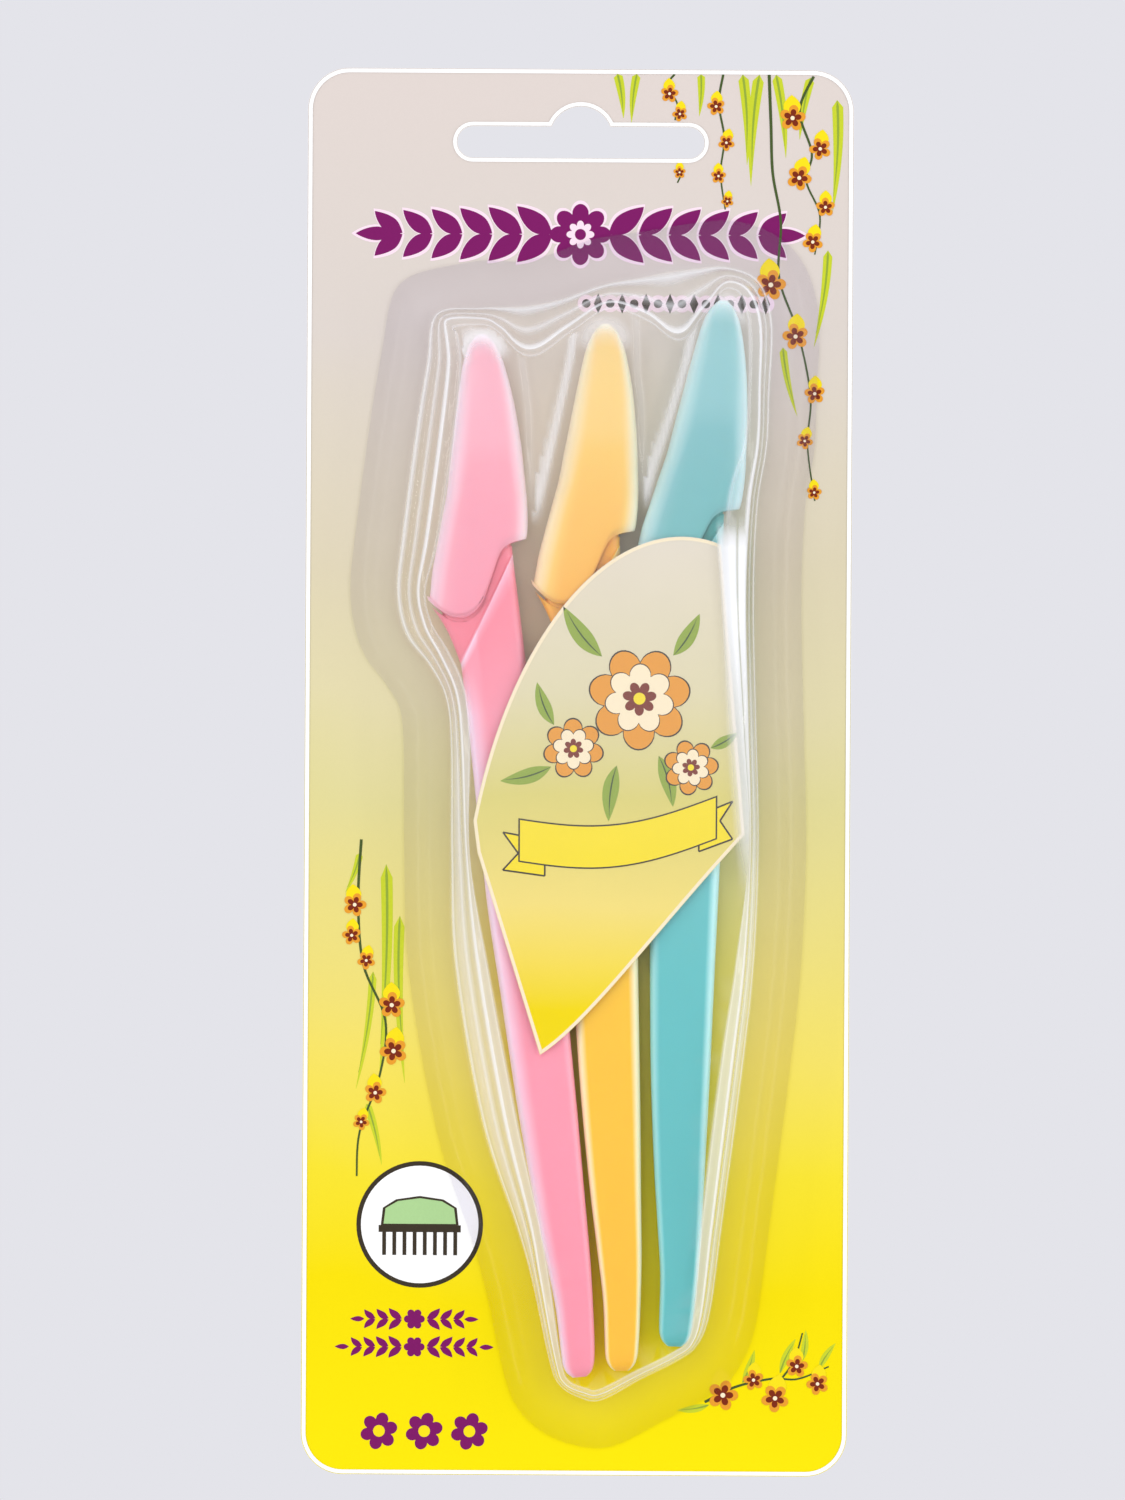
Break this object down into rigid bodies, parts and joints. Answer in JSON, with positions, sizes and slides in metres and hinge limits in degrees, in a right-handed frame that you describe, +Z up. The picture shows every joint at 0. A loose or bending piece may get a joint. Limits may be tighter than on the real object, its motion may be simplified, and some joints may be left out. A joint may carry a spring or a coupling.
{
  "type": "eyebrow razor",
  "caption": "Eyebrow razors with slip-on caps, held under a clear thermoformed blister on a printed hang card with a peg slot.",
  "frame": {"origin": "the middle of the round peg notch in the hang slot, on the back of the card", "axes": "X to the right as the printed face is seen, Z up the card, -Y out of the printed face"},
  "size_m": [0.0784, 0.0076, 0.2021],
  "materials": {
    "card": "printed and varnished",
    "film": "clear formed film",
    "insert": "printed",
    "pink_plastic": "satin moulded",
    "yellow_plastic": "satin moulded",
    "teal_plastic": "satin moulded",
    "steel": "ground strip"
  },
  "bodies": {
    "hang_card": {"card": "card"},
    "film_shell": {"blister": "film", "label_insert": "insert"},
    "pink_razor": {"pink_handle": "pink_plastic", "pink_blade": "steel", "pink_comb_guard": "steel"},
    "pink_cover": {"pink_cap": "pink_plastic"},
    "yellow_razor": {"yellow_handle": "yellow_plastic", "yellow_blade": "steel", "yellow_comb_guard": "steel"},
    "yellow_cover": {"yellow_cap": "yellow_plastic"},
    "teal_razor": {"teal_handle": "teal_plastic", "teal_blade": "steel", "teal_comb_guard": "steel"},
    "teal_cover": {"teal_cap": "teal_plastic"}
  },
  "joints": [
    {"name": "blister_peel", "type": "hinge", "parent": "hang_card", "child": "film_shell", "pos_m": [0, -0.00095, -0.1884], "axis": [1, 0, 0], "range_deg": [0, 110]},
    {"name": "pink_swing", "type": "hinge", "parent": "hang_card", "child": "pink_razor", "pos_m": [0, -0.0009, -0.179], "axis": [1, 0, 0], "range_deg": [0, 22]},
    {"name": "yellow_swing", "type": "hinge", "parent": "hang_card", "child": "yellow_razor", "pos_m": [0, -0.0009, -0.179], "axis": [1, 0, 0], "range_deg": [0, 22]},
    {"name": "teal_swing", "type": "hinge", "parent": "hang_card", "child": "teal_razor", "pos_m": [0, -0.0009, -0.179], "axis": [1, 0, 0], "range_deg": [0, 22]},
    {"name": "pink_cap_pull", "type": "slide", "parent": "pink_razor", "child": "pink_cover", "axis": [-0.1007, 0, 0.9949], "range_m": [0, 0.042]},
    {"name": "yellow_cap_pull", "type": "slide", "parent": "yellow_razor", "child": "yellow_cover", "axis": [-0.0217, 0, 0.9998], "range_m": [0, 0.042]},
    {"name": "teal_cap_pull", "type": "slide", "parent": "teal_razor", "child": "teal_cover", "axis": [0.0403, 0, 0.9992], "range_m": [0, 0.042]}
  ],
  "couplings": [
    {"joint": "pink_swing", "follows": "blister_peel", "ratio": 0.2},
    {"joint": "yellow_swing", "follows": "blister_peel", "ratio": 0.2},
    {"joint": "teal_swing", "follows": "blister_peel", "ratio": 0.2},
    {"joint": "pink_cap_pull", "follows": "blister_peel", "m_per_rad": 0.0218},
    {"joint": "yellow_cap_pull", "follows": "blister_peel", "m_per_rad": 0.0218},
    {"joint": "teal_cap_pull", "follows": "blister_peel", "m_per_rad": 0.0218}
  ]
}
